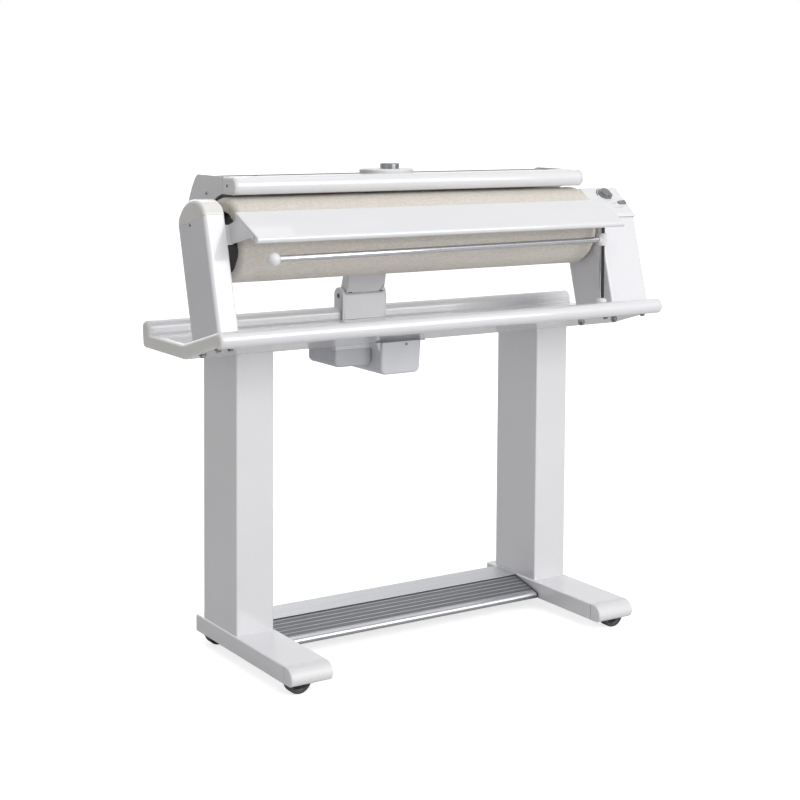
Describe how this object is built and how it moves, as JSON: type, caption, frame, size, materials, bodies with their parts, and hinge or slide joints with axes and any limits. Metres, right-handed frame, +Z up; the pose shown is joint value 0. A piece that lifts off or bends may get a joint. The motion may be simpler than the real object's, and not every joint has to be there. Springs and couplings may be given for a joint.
{
  "type": "flatwork ironer",
  "caption": "Free-standing rotary ironer: a padded roller under a heated shoe with finger guard, feed board, linen rail and folded tray on a two-column stand with castor rolls and foot pedal.",
  "frame": {"origin": "centre of the whole ironer's footprint, on the floor under its castor rolls", "axes": "+X along the roller to the side with the control panel, +Y away from the operator, +Z up"},
  "size_m": [1.024, 0.39, 0.9475],
  "materials": {
    "white_coat": "gloss",
    "beige_plastic": "semi-gloss",
    "white_plastic": "gloss",
    "light_grey_plastic": "satin",
    "dark_grey_plastic": "satin",
    "grey_plastic": "satin",
    "black_plastic": "matte",
    "black_rubber": "matte",
    "chromed_steel": "mirror",
    "zinc_steel": "satin",
    "anodised_aluminium": "satin",
    "dark_anodised_aluminium": "satin",
    "cast_aluminium": "polished",
    "ecru_cotton": "woven",
    "gear_steel": "satin",
    "circuit_board": "matte"
  },
  "bodies": {
    "frame": {"tray_profile": "white_coat", "tray_cap_left": "beige_plastic", "tray_cap_right": "beige_plastic", "column_left": "white_coat", "column_right": "white_coat", "foot_left": "white_coat", "foot_right": "white_coat", "foot_front_caps": "white_plastic", "foot_rear_caps": "white_plastic", "wheel_blocks": "dark_grey_plastic", "wheel_axles": "zinc_steel", "cross_beam": "anodised_aluminium", "pedal_pin": "zinc_steel", "pedal_buffers": "black_rubber", "pedal_switch": "black_plastic", "left_housing": "white_coat", "left_housing_cap": "beige_plastic", "right_housing": "white_coat", "control_panel": "white_plastic", "thermostat": "black_plastic", "roller_bearings": "gear_steel", "gear_motor": "zinc_steel", "arm_bracket": "white_coat", "arm_pin": "dark_grey_plastic", "lift_motor": "zinc_steel", "drive_housing": "light_grey_plastic", "control_unit": "circuit_board", "inlet_gland": "black_plastic", "feed_board": "white_coat", "board_brackets": "light_grey_plastic", "rail_post": "chromed_steel", "tray_bolts": "zinc_steel", "housing_screws": "zinc_steel"},
    "roller": {"roller_core": "zinc_steel", "roller_padding": "ecru_cotton", "roller_shaft": "gear_steel", "roller_gear": "gear_steel"},
    "motor_pinion_body": {"motor_pinion": "gear_steel"},
    "shoe": {"heater_shoe": "cast_aluminium", "shoe_cover": "white_coat", "shoe_plates": "white_coat", "heating_elements": "gear_steel", "top_disc": "white_plastic", "shoe_arm": "white_coat", "guard_pin": "zinc_steel"},
    "pressure_knob_body": {"pressure_knob": "anodised_aluminium"},
    "guard": {"finger_guard": "white_coat", "guard_caps": "beige_plastic", "guard_screws": "zinc_steel"},
    "lift_pinion_body": {"lift_pinion": "gear_steel"},
    "rail": {"linen_rail": "chromed_steel", "rail_ball": "white_plastic", "rail_clamp": "white_plastic"},
    "temperature_knob_body": {"temperature_knob": "grey_plastic"},
    "rocker_body": {"rocker_switch": "dark_grey_plastic"},
    "pedal_body": {"pedal": "dark_anodised_aluminium"},
    "roll_front_left": {"wheel_front_left": "black_rubber"},
    "roll_front_right": {"wheel_front_right": "black_rubber"},
    "roll_rear_left": {"wheel_rear_left": "black_rubber"},
    "roll_rear_right": {"wheel_rear_right": "black_rubber"}
  },
  "joints": [
    {"name": "roller_turn", "type": "hinge", "parent": "frame", "child": "roller", "pos_m": [0, 0.0126, 0.8124], "axis": [-1, 0, 0], "continuous": true},
    {"name": "motor_turn", "type": "hinge", "parent": "frame", "child": "motor_pinion_body", "pos_m": [0.43, -0.00426, 0.77068], "axis": [-1, 0, 0], "continuous": true},
    {"name": "shoe_swing", "type": "hinge", "parent": "frame", "child": "shoe", "pos_m": [-0.0338, 0.1715, 0.6729], "axis": [-1, 0, 0], "range_deg": [-1.2, 9]},
    {"name": "lift_turn", "type": "hinge", "parent": "frame", "child": "lift_pinion_body", "pos_m": [-0.0338, 0.1574, 0.56582], "axis": [-1, 0, 0], "range_deg": [-72, 9.6]},
    {"name": "guard_lift", "type": "hinge", "parent": "shoe", "child": "guard", "pos_m": [-0.0205, 0.0158, 0.925], "axis": [-1, 0, 0], "range_deg": [0, 8], "stiffness_Nm_per_rad": 1},
    {"name": "pressure_turn", "type": "hinge", "parent": "shoe", "child": "pressure_knob_body", "pos_m": [-0.0338, 0.06206, 0.94], "axis": [0, 0, 1], "range_deg": [0, 270]},
    {"name": "temperature_turn", "type": "hinge", "parent": "frame", "child": "temperature_knob_body", "pos_m": [0.4565, -0.01521, 0.87616], "axis": [0, -0.6204, 0.7843], "range_deg": [0, 270]},
    {"name": "switch_rock", "type": "hinge", "parent": "frame", "child": "rocker_body", "pos_m": [0.4845, -0.03717, 0.85879], "axis": [0, 0.7843, 0.6204], "range_deg": [0, 10]},
    {"name": "rail_swing", "type": "hinge", "parent": "frame", "child": "rail", "pos_m": [0.387, -0.094, 0.7895], "axis": [0, 0, 1], "range_deg": [-3, 80]},
    {"name": "pedal_press", "type": "hinge", "parent": "frame", "child": "pedal_body", "pos_m": [0, 0.0871, 0.0484], "axis": [1, 0, 0], "range_deg": [0, 3], "stiffness_Nm_per_rad": 60},
    {"name": "roll_front_left_turn", "type": "hinge", "parent": "frame", "child": "roll_front_left", "pos_m": [-0.3673, -0.161, 0.025], "axis": [0, 1, 0], "continuous": true},
    {"name": "roll_front_right_turn", "type": "hinge", "parent": "frame", "child": "roll_front_right", "pos_m": [0.3673, -0.161, 0.025], "axis": [0, 1, 0], "continuous": true},
    {"name": "roll_rear_left_turn", "type": "hinge", "parent": "frame", "child": "roll_rear_left", "pos_m": [-0.3673, 0.161, 0.025], "axis": [0, 1, 0], "continuous": true},
    {"name": "roll_rear_right_turn", "type": "hinge", "parent": "frame", "child": "roll_rear_right", "pos_m": [0.3673, 0.161, 0.025], "axis": [0, 1, 0], "continuous": true}
  ],
  "couplings": [
    {"joint": "motor_turn", "follows": "roller_turn", "ratio": -4},
    {"joint": "lift_turn", "follows": "shoe_swing", "ratio": -8}
  ]
}
